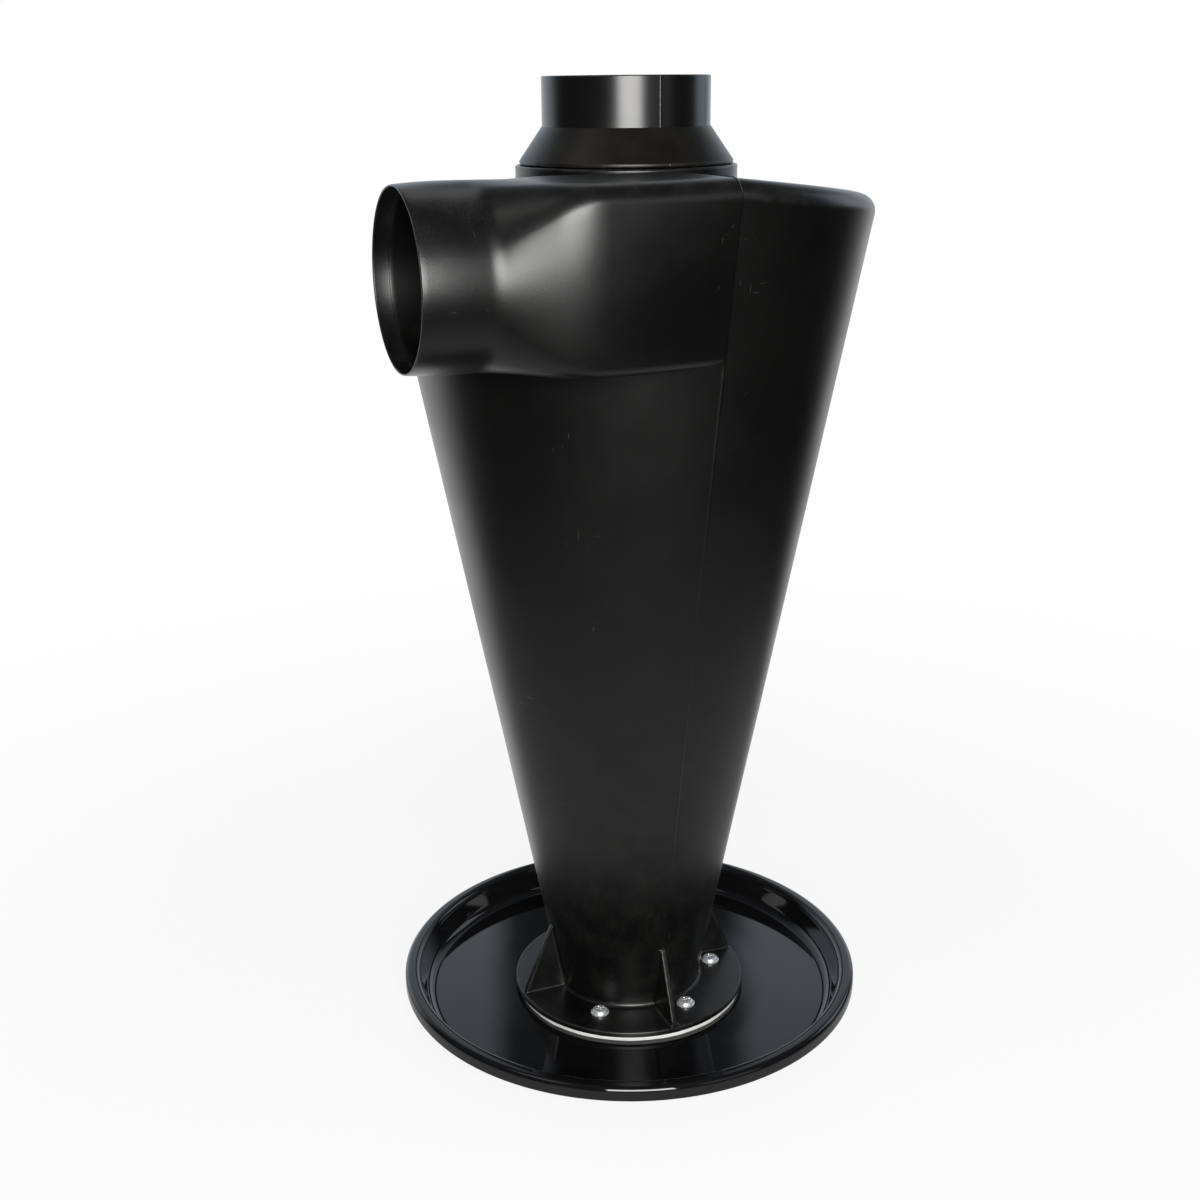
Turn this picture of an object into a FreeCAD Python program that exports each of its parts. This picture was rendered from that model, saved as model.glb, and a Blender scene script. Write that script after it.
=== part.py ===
import FreeCAD, Part
import math
import os
import Sketcher

# Dust cyclone on a pail lid. Millimetres, +Z up along the cone's axis, origin on that axis at the
# underside of the lid's panel. The parting plane is X = 0, the scroll starts at -Y and the air
# enters through a round tube that opens towards -X.

doc = FreeCAD.newDocument("DustCyclone")
sizes = doc.addObject("Spreadsheet::Sheet", "Sizes")

driving = {
    # pressed steel lid
    "lidSheet": 1.0,
    "dustBore": 45.5,
    "panelRadius": 138.0,
    "chuckBend": 7.0,
    "chuckLean": 19.0,
    "rimOuter": 159.2,
    "rimTop": 20.3,
    "rimHem": 10.9,
    "rimBend": 3.6,
    "sealDepth": 3.0,
    # gasket, flange and gussets
    "gasketThick": 3.4,
    "gasketRadius": 80.4,
    "flangeThick": 3.8,
    "flangeRadius": 81.0,
    "screwCircle": 60.0,
    "screwStart": 47.5,
    "screwCount": 6,
    "screwRadius": 3.175,
    "screwHoleRadius": 3.5,
    "screwHeadRadius": 6.25,
    "screwHeadTall": 3.6,
    "headRound": 2.4,
    "screwLength": 12.7,
    "nutAcross": 11.1,
    "nutTall": 5.56,
    "gussetThick": 4.4,
    "gussetFoot": 79.0,
    "gussetRise": 48.0,
    "gussetToe": 2.0,
    "gussetTip": 1.0,
    # moulded body
    "wall": 3.5,
    "coneFoot": 47.66,
    "coneLean": 10.82,
    "footFillet": 3.0,
    "coneSplit": 250.0,
    "scrollFloor": 440.0,
    "roofTop": 565.2,
    "shoulderRadius": 10.0,
    "ductFloor": 463.6,
    # central tube and outlet
    "hubRadius": 67.4,
    "hubBore": 63.6,
    "hubTop": 566.4,
    "tubeRadius": 63.5,
    "tubeWall": 3.1,
    "tubeFoot": 446.0,
    "flareRadius": 64.8,
    "flareLip": 2.5,
    "collarFoot": 588.5,
    "collarTop": 617.4,
    # inlet
    "hoseRadius": 50.8,
    "inletCentreY": -90.2,
    "inletMouth": -171.0,
    "inletBend": -135.0,
    "ductMouth": -88.0,
    "mouthUpright": 0.6,
    "ductMiddle": -42.0,
    "middleUpright": 0.5,
    "mouthStep": 9.0,
    "mouthWall": 2.2,
    "cornerTurn": 50.0,
    # how far cutting shapes reach past what they cut
    "cutMargin": 1.0,
    "roofMargin": 20.0,
}
for row, (alias, value) in enumerate(driving.items(), start=1):
    sizes.set(f"A{row}", alias)
    sizes.set(f"B{row}", str(value))
    sizes.setAlias(f"B{row}", alias)
doc.recompute()

parts = []


def full(expression):
    """The expression with every size name pointing at the sheet."""
    words = []
    word = ""
    for letter in expression + " ":
        if letter.isalnum():
            word += letter
            continue
        words.append(f"Sizes.{word}" if word in driving else word)
        words.append(letter)
        word = ""
    return "".join(words).strip()


def value(expression):
    return float(sizes.evalExpression(full(expression)))


def bind(thing, **properties):
    """Bind properties to expressions of the sheet; a double underscore stands for a dot."""
    for name, expression in properties.items():
        thing.setExpression(name.replace("__", "."), full(expression))


def coneRadius(height, inset="0"):
    """Outer radius of the cone at a height, less an inset."""
    return f"(coneFoot + tan(coneLean) * ({height}) - ({inset}))"


def addPart(thing, label):
    thing.Label = label
    parts.append(thing)
    return thing


def originPlane(body, role):
    return next(plane for plane in body.Origin.OriginFeatures if plane.Role == role)


def fixPoint(sketch, geometry, end, across, up):
    """Hold one point of a sketch at two expressions."""
    for kind, expression in (("DistanceX", across), ("DistanceY", up)):
        index = sketch.addConstraint(Sketcher.Constraint(kind, -1, 1, geometry, end, value(expression)))
        sketch.setExpression(f"Constraints[{index}]", full(expression))


def outline(body, name, role, corners):
    """A closed outline. Each corner is (across, up) or (across, up, radius) where the edge that
    leaves the corner is an arc: a positive radius turns anticlockwise, a negative one clockwise."""
    sketch = body.newObject("Sketcher::SketchObject", name)
    sketch.AttachmentSupport = [(originPlane(body, role), "")]
    sketch.MapMode = "FlatFace"
    points = [FreeCAD.Vector(value(corner[0]), value(corner[1]), 0) for corner in corners]
    ends = []
    for index, corner in enumerate(corners):
        start, finish = points[index], points[(index + 1) % len(points)]
        if len(corner) == 2:
            geometry = sketch.addGeometry(Part.LineSegment(start, finish), False)
            ends.append((geometry, 1, 2))
            continue
        radius = value(corner[2])
        if radius < 0:
            start, finish = finish, start
        chord = finish.sub(start)
        offset = math.sqrt(max(radius * radius - chord.Length ** 2 / 4, 0))
        left = FreeCAD.Vector(-chord.y, chord.x, 0).normalize()
        centre = (start + finish) * 0.5 + left * offset
        angles = [math.atan2(end.y - centre.y, end.x - centre.x) for end in (start, finish)]
        circle = Part.Circle(centre, FreeCAD.Vector(0, 0, 1), abs(radius))
        geometry = sketch.addGeometry(Part.ArcOfCircle(circle, *angles), False)
        ends.append((geometry, 1, 2) if radius > 0 else (geometry, 2, 1))
    for index, (geometry, first, last) in enumerate(ends):
        following, start, _ = ends[(index + 1) % len(ends)]
        sketch.addConstraint(Sketcher.Constraint("Coincident", geometry, last, following, start))
        fixPoint(sketch, geometry, first, corners[index][0], corners[index][1])
    for index, corner in enumerate(corners):
        if len(corner) == 3:
            radius = corner[2].lstrip("-")
            number = sketch.addConstraint(Sketcher.Constraint("Radius", ends[index][0], value(radius)))
            sketch.setExpression(f"Constraints[{number}]", full(radius))
    return sketch


def turned(label, corners, role="XZ_Plane", angle=360, reverse=False):
    """A body turned about Z from an outline in a plane through the axis."""
    body = doc.addObject("PartDesign::Body", label)
    sketch = outline(body, f"{label}Outline", role, corners)
    turn = body.newObject("PartDesign::Revolution", f"{label}Turn")
    turn.Profile = sketch
    turn.ReferenceAxis = (sketch, ["V_Axis"])
    turn.Angle = angle
    turn.Reversed = reverse
    sketch.Visibility = False
    return addPart(body, label)


def padded(label, corners, role, length, midplane=False, reverse=False):
    """A body padded square to an origin plane."""
    body = doc.addObject("PartDesign::Body", label)
    sketch = outline(body, f"{label}Outline", role, corners)
    pad = body.newObject("PartDesign::Pad", f"{label}Pad")
    pad.Profile = sketch
    pad.Midplane = midplane
    pad.Reversed = reverse
    bind(pad, Length=length)
    return body


def drillScrewHoles(body, label, depth):
    """Six clearance holes through a turned plate, from its underside up."""
    doc.recompute()
    before = body.Shape.Volume
    sketch = body.newObject("Sketcher::SketchObject", f"{label}HoleSketch")
    sketch.AttachmentSupport = [(originPlane(body, "XY_Plane"), "")]
    sketch.MapMode = "FlatFace"
    start = math.radians(value("screwStart"))
    ring = value("screwCircle")
    centre = FreeCAD.Vector(ring * math.cos(start), ring * math.sin(start), 0)
    circle = Part.Circle(centre, FreeCAD.Vector(0, 0, 1), value("screwHoleRadius"))
    hole = sketch.addGeometry(circle, False)
    fixPoint(sketch, hole, 3, "screwCircle * cos(screwStart)", "screwCircle * sin(screwStart)")
    number = sketch.addConstraint(Sketcher.Constraint("Radius", hole, value("screwHoleRadius")))
    sketch.setExpression(f"Constraints[{number}]", full("screwHoleRadius"))
    pocket = body.newObject("PartDesign::Pocket", f"{label}Hole")
    pocket.Profile = sketch
    pocket.Reversed = True
    bind(pocket, Length=depth)
    pattern = body.newObject("PartDesign::PolarPattern", f"{label}Holes")
    pattern.Originals = [pocket]
    pattern.Axis = (sketch, ["N_Axis"])
    pattern.Angle = 360
    bind(pattern, Occurrences="screwCount")
    body.Tip = pattern
    doc.recompute()
    removed = before - body.Shape.Volume
    if removed < value("screwCount"):
        raise RuntimeError(f"{label}: the screw holes cut nothing")


# ---- lid: flat panel, chuck wall, rolled rim, seal ----
panel = turned("lid_panel", [
    ("dustBore", "0"), ("panelRadius", "0"), ("panelRadius", "lidSheet"), ("dustBore", "lidSheet")])
drillScrewHoles(panel, "lid_panel", "lidSheet")

# The chuck wall leaves the panel on an arc and leans outwards up to the rim.
bendZ = "(lidSheet + chuckBend)"
topEdge = f"({bendZ} - chuckBend * sin(chuckLean))"
wallIn = "(panelRadius + chuckBend * cos(chuckLean))"
rimFoot = "(rimTop - rimBend)"
wallTop = f"({wallIn} + ({rimFoot} - {topEdge}) * tan(chuckLean))"
outerBend = "(chuckBend + lidSheet)"
turned("lid_wall", [
    ("panelRadius", "0", outerBend),
    (f"(panelRadius + {outerBend} * cos(chuckLean))", f"({bendZ} - {outerBend} * sin(chuckLean))"),
    (f"({wallTop} + lidSheet / cos(chuckLean))", rimFoot),
    (wallTop, rimFoot),
    (wallIn, topEdge, "-chuckBend"),
    ("panelRadius", "lidSheet")])

# The rim rolls over from the chuck wall and hangs down outside the pail's lip.
innerBend = "(rimBend - lidSheet)"
rimIn = wallTop
turned("lid_rim", [
    (rimIn, rimFoot, "-rimBend"),
    (f"({rimIn} + rimBend)", "rimTop"),
    ("(rimOuter - rimBend)", "rimTop", "-rimBend"),
    ("rimOuter", rimFoot),
    ("rimOuter", "rimHem"),
    ("(rimOuter - lidSheet)", "rimHem"),
    ("(rimOuter - lidSheet)", rimFoot, innerBend),
    ("(rimOuter - rimBend)", "(rimTop - lidSheet)"),
    (f"({rimIn} + rimBend)", "(rimTop - lidSheet)", innerBend),
    (f"({rimIn} + lidSheet)", rimFoot)])

sealIn = f"({rimIn} + rimBend)"
turned("lid_seal", [
    (sealIn, "(rimTop - lidSheet - sealDepth)"),
    ("(rimOuter - rimBend)", "(rimTop - lidSheet - sealDepth)"),
    ("(rimOuter - rimBend)", "(rimTop - lidSheet)"),
    (sealIn, "(rimTop - lidSheet)")])

# ---- gasket and flange ----
gasketTop = "(lidSheet + gasketThick)"
flangeTop = "(lidSheet + gasketThick + flangeThick)"
gasket = turned("flange_gasket", [
    ("dustBore", "lidSheet"), ("gasketRadius", "lidSheet"),
    ("gasketRadius", gasketTop), ("dustBore", gasketTop)])
drillScrewHoles(gasket, "flange_gasket", gasketTop)
flange = turned("cone_flange", [
    ("dustBore", gasketTop), ("flangeRadius", gasketTop), ("flangeRadius", flangeTop), ("dustBore", flangeTop)])
drillScrewHoles(flange, "cone_flange", flangeTop)

# ---- cone below the scroll, in halves that meet on the parting plane ----
# The cone leans out from the flange; the foot has a fillet on the outside.
footOuter = coneRadius(flangeTop)
filletReach = "(footFillet / tan((90 - coneLean) / 2))"
lowerCone = [
    (coneRadius(flangeTop, "wall"), flangeTop),
    (f"({footOuter} + {filletReach})", flangeTop, "-footFillet"),
    (f"({footOuter} + {filletReach} * sin(coneLean))", f"({flangeTop} + {filletReach} * cos(coneLean))"),
    (coneRadius("coneSplit"), "coneSplit"),
    (coneRadius("coneSplit", "wall"), "coneSplit")]
upperCone = [
    (coneRadius("coneSplit", "wall"), "coneSplit"),
    (coneRadius("coneSplit"), "coneSplit"),
    (coneRadius("scrollFloor"), "scrollFloor"),
    (coneRadius("scrollFloor", "wall"), "scrollFloor")]
for side, reverse in (("left", False), ("right", True)):
    turned(f"lower_cone_{side}", lowerCone, "YZ_Plane", 180, reverse)
    turned(f"upper_cone_{side}", upperCone, "YZ_Plane", 180, reverse)

# ---- gussets between cone and flange, one in the parting plane ----
coneSolid = doc.addObject("Part::Cone", "ConeBelowScroll")
bind(coneSolid, Radius1=coneRadius("0"), Radius2=coneRadius("coneSplit"), Height="coneSplit")
gussetTop = f"({flangeTop} + gussetRise)"
for turn, label in enumerate(("gusset_right", "gusset_back", "gusset_left", "gusset_front")):
    web = padded(f"{label}_web", [
        ("coneFoot", flangeTop), ("gussetFoot", flangeTop), ("gussetFoot", f"({flangeTop} + gussetToe)"),
        (f"({coneRadius(gussetTop)} + gussetTip)", gussetTop), ("coneFoot", gussetTop)],
        "XZ_Plane", "gussetThick", midplane=True)
    web.Placement = FreeCAD.Placement(FreeCAD.Vector(), FreeCAD.Rotation(FreeCAD.Vector(0, 0, 1), 90 * turn))
    gusset = doc.addObject("Part::Cut", label)
    gusset.Base = web
    gusset.Tool = coneSolid
    addPart(gusset, label)

# ---- inlet transition: a loft from the round tube to the duct's section ----
inletZ = "((ductFloor + roofTop) / 2)"


def ductSection(inset, x, upright):
    """The duct's section with all four corners round. Its front wall leans with the cone where upright
    is 0 and stands straight down from the roof where it is 1."""
    low, high = value(f"ductFloor + ({inset})"), value(f"roofTop - ({inset})")
    inner = value(f"-(hubRadius + ({inset}))")
    frontLow, frontHigh = (-value(coneRadius(z, inset)) for z in (low, high))
    frontLow += value(upright) * (frontHigh - frontLow)
    corners = [(inner, high), (frontHigh, high), (frontLow, low), (inner, low)]
    corners = [FreeCAD.Vector(value(x), y, z) for y, z in corners]
    return roundedLoop(corners, value(f"shoulderRadius - ({inset})"))


def roundedLoop(corners, radius):
    """Edges of a closed loop with tangent arcs, starting at the middle of the last side."""
    edges = []
    starts, arcs, finishes = [], [], []
    for index, corner in enumerate(corners):
        back = (corners[index - 1] - corner).normalize()
        ahead = (corners[(index + 1) % len(corners)] - corner).normalize()
        half = back.getAngle(ahead) / 2
        reach = radius / math.tan(half)
        middle = (back + ahead).normalize() * (radius / math.sin(half) - radius)
        starts.append(corner + back * reach)
        finishes.append(corner + ahead * reach)
        arcs.append(Part.Arc(starts[-1], corner + middle, finishes[-1]).toShape())
    for index, arc in enumerate(arcs):
        edges += [arc, Part.makeLine(finishes[index], starts[(index + 1) % len(corners)])]
    return edges


def roundSection(inset, x):
    """The tube's circle in eight arcs that pair with the duct's rounded corners and sides."""
    radius = value(f"hoseRadius - ({inset})")
    centre = FreeCAD.Vector(value(x), value("inletCentreY"), value(inletZ))
    circle = Part.Circle(centre, FreeCAD.Vector(1, 0, 0), radius)
    first = circle.value(0) - centre
    start = math.atan2(first.z, first.y)
    cornerTurn = math.radians(value("cornerTurn"))
    sideTurn = math.pi / 2 - cornerTurn
    angle = math.pi / 4 - cornerTurn / 2 - start
    edges = []
    for turn in (cornerTurn, sideTurn) * 4:
        edges.append(circle.toShape(angle, angle + turn))
        angle += turn
    return edges


def wire(label, edges):
    feature = doc.addObject("Part::Feature", label)
    feature.Shape = Part.Wire(edges)
    return feature


def transition(label, inset):
    loft = doc.addObject("Part::Loft", label)
    loft.Sections = [wire(f"{label}Round", roundSection(inset, "inletBend")),
                     wire(f"{label}Square", ductSection(inset, "ductMouth", "mouthUpright"))]
    loft.Solid = True
    loft.Ruled = True
    return loft


transitionOuter = transition("TransitionOuter", "0")
transitionInner = transition("TransitionInner", "wall")
shell = doc.addObject("Part::Cut", "inlet_transition")
shell.Base = transitionOuter
shell.Tool = transitionInner
addPart(shell, "inlet_transition")

# ---- round inlet tube with a shallow step inside its mouth ----
tubeBody = doc.addObject("PartDesign::Body", "inlet_tube")
tubeOutline = outline(tubeBody, "inletTubeOutline", "XZ_Plane", [
    ("(hoseRadius - wall)", "0"), ("hoseRadius", "0"),
    ("hoseRadius", "(inletBend - inletMouth)"), ("(hoseRadius - mouthWall)", "(inletBend - inletMouth)"),
    ("(hoseRadius - mouthWall)", "(inletBend - inletMouth - mouthStep)"),
    ("(hoseRadius - wall)", "(inletBend - inletMouth - mouthStep)")])
tubeTurn = tubeBody.newObject("PartDesign::Revolution", "inletTubeTurn")
tubeTurn.Profile = tubeOutline
tubeTurn.ReferenceAxis = (tubeOutline, ["V_Axis"])
tubeTurn.Angle = 360
tubeBody.Placement = FreeCAD.Placement(
    FreeCAD.Vector(value("inletBend"), value("inletCentreY"), value(inletZ)),
    FreeCAD.Rotation(FreeCAD.Vector(0, 0, 1), FreeCAD.Vector(-1, 0, 0)))
addPart(tubeBody, "inlet_tube")

# ---- duct from the transition to the parting plane, where its front wall is tangent to the cone ----
ductLength = "(-ductMouth)"


def boolean(kind, label, base, tool):
    thing = doc.addObject(kind, label)
    thing.Base = base
    thing.Tool = tool
    return thing


def ductSolid(label, inset):
    """The duct's space: steep at the transition, leaning into the cone at the parting plane."""
    loft = doc.addObject("Part::Loft", label)
    loft.Sections = [wire(f"{label}Mouth", ductSection(inset, "ductMouth", "mouthUpright")),
                     wire(f"{label}Middle", ductSection(inset, "ductMiddle", "middleUpright")),
                     wire(f"{label}End", ductSection(inset, "0", "0"))]
    loft.Solid = True
    loft.Ruled = True
    return loft


def zone(label, y0, y1, z0, z1):
    """A box over the duct's whole length that picks one of its walls out of the duct."""
    box = doc.addObject("Part::Box", label)
    bind(box, Length=ductLength, Width=f"({y1}) - ({y0})", Height=f"({z1}) - ({z0})")
    box.Placement = FreeCAD.Placement(
        FreeCAD.Vector(value("ductMouth"), value(y0), value(z0)), FreeCAD.Rotation())
    return box


ductOuter = ductSolid("DuctOuter", "0")
ductInner = ductSolid("DuctInner", "wall")
duct = boolean("Part::Cut", "Duct", ductOuter, ductInner)
frontReach = f"(-{coneRadius('roofTop')} - cutMargin)"
frontSplit = f"(-{coneRadius('ductFloor')} + shoulderRadius)"
innerSplit = "(-hubRadius - shoulderRadius)"
below, above = "(ductFloor - cutMargin)", "(roofTop + cutMargin)"
for label, *limits in (
        ("duct_front_wall", frontReach, frontSplit, below, above),
        ("duct_inner_wall", innerSplit, "(-hubRadius + cutMargin)", below, above),
        ("duct_roof", frontSplit, innerSplit, inletZ, above),
        ("duct_floor", frontSplit, innerSplit, below, inletZ)):
    addPart(boolean("Part::Common", label, duct, zone(f"{label}_zone", *limits)), label)

# The space that the inlet takes out of the scroll's wall and roof.
inletSpace = doc.addObject("Part::MultiFuse", "InletSpace")
inletSpace.Shapes = [ductOuter, transitionOuter]

# ---- scroll: the roof falls by the duct's height in one turn, from the front seam over the right ----
hubCore = doc.addObject("Part::Cylinder", "HubCore")
bind(hubCore, Radius="hubRadius", Height="hubTop")
quarters = ("front_right", "back_right", "back_left", "front_left")
drop = "(roofTop - ductFloor)"


def coneQuarter(label, quarter, inset):
    """A quarter of the cone's solid from the scroll's floor to the roof's highest point."""
    cone = doc.addObject("Part::Cone", label)
    bind(cone, Radius1=coneRadius("scrollFloor", inset), Radius2=coneRadius("roofTop", inset),
         Height="(roofTop - scrollFloor)")
    cone.Angle = 90
    cone.Placement = FreeCAD.Placement(
        FreeCAD.Vector(0, 0, value("scrollFloor")), FreeCAD.Rotation(FreeCAD.Vector(0, 0, 1), 90 * quarter - 90))
    return cone


def underRoof(label, quarter, below, depth):
    """The space under a quarter turn of the falling roof surface, from a depth below its top."""
    edges = []
    for edge, radius in (("In", "hubRadius - roofMargin"), ("Out", f"{coneRadius('roofTop')} + roofMargin")):
        helix = doc.addObject("Part::Helix", f"{label}{edge}")
        helix.LocalCoord = "Left-handed"
        helix.Style = "New style"
        bind(helix, Pitch=drop, Height=f"{drop} / 4", Radius=radius)
        foot = value(f"roofTop - {drop} * ({quarter} + 1) / 4 - ({below})")
        turn = FreeCAD.Rotation(FreeCAD.Vector(0, 0, 1), 90 * quarter)
        helix.Placement = FreeCAD.Placement(FreeCAD.Vector(0, 0, foot), turn)
        edges.append(helix)
    surface = doc.addObject("Part::RuledSurface", f"{label}Surface")
    surface.Curve1 = (edges[0], ["Edge1"])
    surface.Curve2 = (edges[1], ["Edge1"])
    space = doc.addObject("Part::Extrusion", label)
    space.Base = surface
    space.DirMode = "Custom"
    space.Dir = FreeCAD.Vector(0, 0, -1)
    space.Solid = True
    bind(space, LengthFwd=depth)
    return space


def roundShoulder(label, base, radius):
    """Round the edge where the falling roof meets the cone, the longest edge out at the cone."""
    doc.recompute()
    shoulder = []
    for index, edge in enumerate(base.Shape.Edges, start=1):
        middle = edge.valueAt((edge.FirstParameter + edge.LastParameter) / 2)
        clearOfFloor = middle.z > value("scrollFloor + wall")
        nearCone = math.hypot(middle.x, middle.y) > value(coneRadius("scrollFloor", "shoulderRadius"))
        if clearOfFloor and nearCone:
            shoulder.append((edge.Length, index))
    rounded = doc.addObject("Part::Fillet", label)
    rounded.Base = base
    rounded.Edges = [(max(shoulder)[1], value(radius), value(radius))]
    return rounded


for quarter, place in enumerate(quarters):
    name = f"Scroll{quarter}"
    solids = {}
    for skin, inset, radius in (("Outer", "0", "shoulderRadius"), ("Inner", "wall", "(shoulderRadius - wall)")):
        cone = coneQuarter(f"{name}{skin}Cone", quarter, inset)
        space = underRoof(f"{name}{skin}Space", quarter, inset, "(roofTop - scrollFloor)")
        body = boolean("Part::Common", f"{name}{skin}", cone, space)
        solids[skin] = roundShoulder(f"{name}{skin}Round", body, radius)
    shell = boolean("Part::Cut", f"{name}Shell", solids["Outer"], solids["Inner"])
    shell = boolean("Part::Cut", f"{name}OpenShell", shell, hubCore)
    if place == "front_left":
        shell = boolean("Part::Cut", f"{name}InletShell", shell, inletSpace)
    core = coneQuarter(f"{name}Core", quarter, "(wall + shoulderRadius)")
    addPart(boolean("Part::Common", f"{name}Roof", shell, core), f"scroll_roof_{place}")
    addPart(boolean("Part::Cut", f"{name}Wall", shell, core), f"scroll_wall_{place}")

# ---- hub ring, central tube and outlet reducer ----
turned("hub_ring", [
    ("hubBore", "(ductFloor - wall)"), ("hubRadius", "(ductFloor - wall)"),
    ("hubRadius", "hubTop"), ("hubBore", "hubTop")])
turned("vortex_tube", [
    ("(tubeRadius - tubeWall)", "tubeFoot"), ("tubeRadius", "tubeFoot"),
    ("tubeRadius", "hubTop"), ("(tubeRadius - tubeWall)", "hubTop")])
turned("outlet_flare", [
    ("(flareRadius - tubeWall)", "hubTop"), ("flareRadius", "hubTop"),
    ("flareRadius", "(hubTop + flareLip)"), ("hoseRadius", "collarFoot"),
    ("(hoseRadius - tubeWall)", "collarFoot"), ("(flareRadius - tubeWall)", "(hubTop + flareLip)")])
turned("outlet_collar", [
    ("(hoseRadius - tubeWall)", "collarFoot"), ("hoseRadius", "collarFoot"),
    ("hoseRadius", "collarTop"), ("(hoseRadius - tubeWall)", "collarTop")])

# ---- screws through flange, gasket and panel, with nuts below ----
headFoot = flangeTop
headTop = f"({flangeTop} + screwHeadTall)"
for index in range(int(driving["screwCount"])):
    angle = math.radians(driving["screwStart"] + 360 / driving["screwCount"] * index)
    ring = driving["screwCircle"]
    spot = FreeCAD.Vector(ring * math.cos(angle), ring * math.sin(angle), 0)
    screw = turned(f"flange_screw_{index + 1}", [
        ("0", f"({flangeTop} - screwLength)"), ("screwRadius", f"({flangeTop} - screwLength)"),
        ("screwRadius", headFoot), ("screwHeadRadius", headFoot),
        ("screwHeadRadius", f"({headTop} - headRound)", "headRound"),
        ("(screwHeadRadius - headRound)", headTop), ("0", headTop)])
    screw.Placement = FreeCAD.Placement(spot, FreeCAD.Rotation())
    nut = doc.addObject("PartDesign::Body", f"HexBlank{index + 1}")
    flats = "(nutAcross / 2)"
    corner = "(nutAcross / 2 * tan(30))"
    point = "(nutAcross / 2 / cos(30))"
    nutOutline = outline(nut, f"HexOutline{index + 1}", "XY_Plane", [
        (point, "0"), (corner, flats), (f"-{corner}", flats),
        (f"-{point}", "0"), (f"-{corner}", f"-{flats}"), (corner, f"-{flats}")])
    pad = nut.newObject("PartDesign::Pad", f"HexPad{index + 1}")
    pad.Profile = nutOutline
    pad.Reversed = True
    bind(pad, Length="nutTall")
    nut.Placement = FreeCAD.Placement(spot, FreeCAD.Rotation())
    shank = doc.addObject("Part::Cylinder", f"NutBore{index + 1}")
    bind(shank, Radius="screwRadius", Height="nutTall + 2 * cutMargin")
    below = FreeCAD.Vector(0, 0, value("nutTall + cutMargin"))
    shank.Placement = FreeCAD.Placement(spot - below, FreeCAD.Rotation())
    addPart(boolean("Part::Cut", f"NutCut{index + 1}", nut, shank), f"lid_nut_{index + 1}")

doc.recompute()
for thing in doc.Objects:
    if any(word in ("Invalid", "Error") for word in thing.State):
        raise RuntimeError(f"{thing.Label} ({thing.Name}): {thing.State}")
os.makedirs("parts", exist_ok=True)
for part in parts:
    shape = part.Shape
    if shape.isNull() or not shape.isValid() or not shape.Solids:
        raise RuntimeError(f"{part.Label}: no valid solid")
    box = shape.BoundBox
    print(f"{part.Label:24s} solids {len(shape.Solids)} volume {shape.Volume:10.0f}"
          f" x {box.XMin:7.1f} {box.XMax:7.1f} y {box.YMin:7.1f} {box.YMax:7.1f} z {box.ZMin:6.1f} {box.ZMax:6.1f}")
    shape.exportStep(f"parts/{part.Label}.step")
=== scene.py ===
import math
import bmesh
import bpy
import numpy as np
from mathutils import Matrix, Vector
from types import SimpleNamespace as Sizes


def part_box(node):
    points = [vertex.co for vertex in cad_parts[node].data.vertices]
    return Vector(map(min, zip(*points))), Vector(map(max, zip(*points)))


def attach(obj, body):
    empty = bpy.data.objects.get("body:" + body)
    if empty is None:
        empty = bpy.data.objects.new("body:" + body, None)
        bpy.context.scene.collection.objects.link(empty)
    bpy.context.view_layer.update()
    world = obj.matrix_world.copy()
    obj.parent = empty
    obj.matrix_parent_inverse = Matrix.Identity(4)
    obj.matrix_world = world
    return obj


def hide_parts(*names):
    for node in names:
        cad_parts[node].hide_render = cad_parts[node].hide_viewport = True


# Dust cyclone on a pail lid: a moulded plastic body, a reducer on top and a pressed, painted lid below.
# Metres. The body's axis is Z, the inlet opens towards -X, and the parting plane is X = 0.

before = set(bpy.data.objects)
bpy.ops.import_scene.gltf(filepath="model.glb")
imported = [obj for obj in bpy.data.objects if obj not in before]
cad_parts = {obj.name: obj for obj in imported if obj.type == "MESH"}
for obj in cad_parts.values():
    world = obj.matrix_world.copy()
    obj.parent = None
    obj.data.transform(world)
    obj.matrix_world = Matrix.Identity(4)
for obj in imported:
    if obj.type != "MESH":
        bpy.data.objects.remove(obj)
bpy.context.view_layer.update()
scene = bpy.context.scene
scene.view_settings.view_transform = "Standard"
mm = 0.001


def low(node, axis):
    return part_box(node)[0]["xyz".index(axis)]


def high(node, axis):
    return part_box(node)[1]["xyz".index(axis)]


# places read from the frame
flangeTop = high("cone_flange", "z")
scrollFloor = low("scroll_wall_front_right", "z")
roofTop = high("scroll_wall_front_right", "z")
ductFloor = low("duct_front_wall", "z")
hubRadius = high("hub_ring", "x")
hubTop = high("hub_ring", "z")
scrollRadius = high("upper_cone_right", "x")
splitRadius, splitHeight = high("lower_cone_right", "x"), high("lower_cone_right", "z")
coneSlope = (scrollRadius - splitRadius) / (scrollFloor - splitHeight)
coneLean = math.atan(coneSlope)
roofDrop = roofTop - ductFloor
inletCentre = ((low("inlet_tube", "y") + high("inlet_tube", "y")) / 2, (ductFloor + roofTop) / 2)
inletRadius = (high("inlet_tube", "z") - low("inlet_tube", "z")) / 2
inletMouth, inletBend = low("inlet_tube", "x"), low("inlet_transition", "x")


def coneRadius(height):
    return scrollRadius + coneSlope * (np.asarray(height) - scrollFloor)


def cellCorners(rows, columns, wrapRows, wrapColumns):
    # every cell of a grid as four corner numbers, joined round where an index wraps
    row = np.arange(rows if wrapRows else rows - 1)
    column = np.arange(columns if wrapColumns else columns - 1)
    row, column = np.meshgrid(row, column, indexing="ij")
    nextRow, nextColumn = (row + 1) % rows, (column + 1) % columns
    corners = (row * columns + column, row * columns + nextColumn,
               nextRow * columns + nextColumn, nextRow * columns + column)
    return np.stack(corners, -1).reshape(-1, 4)


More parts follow.
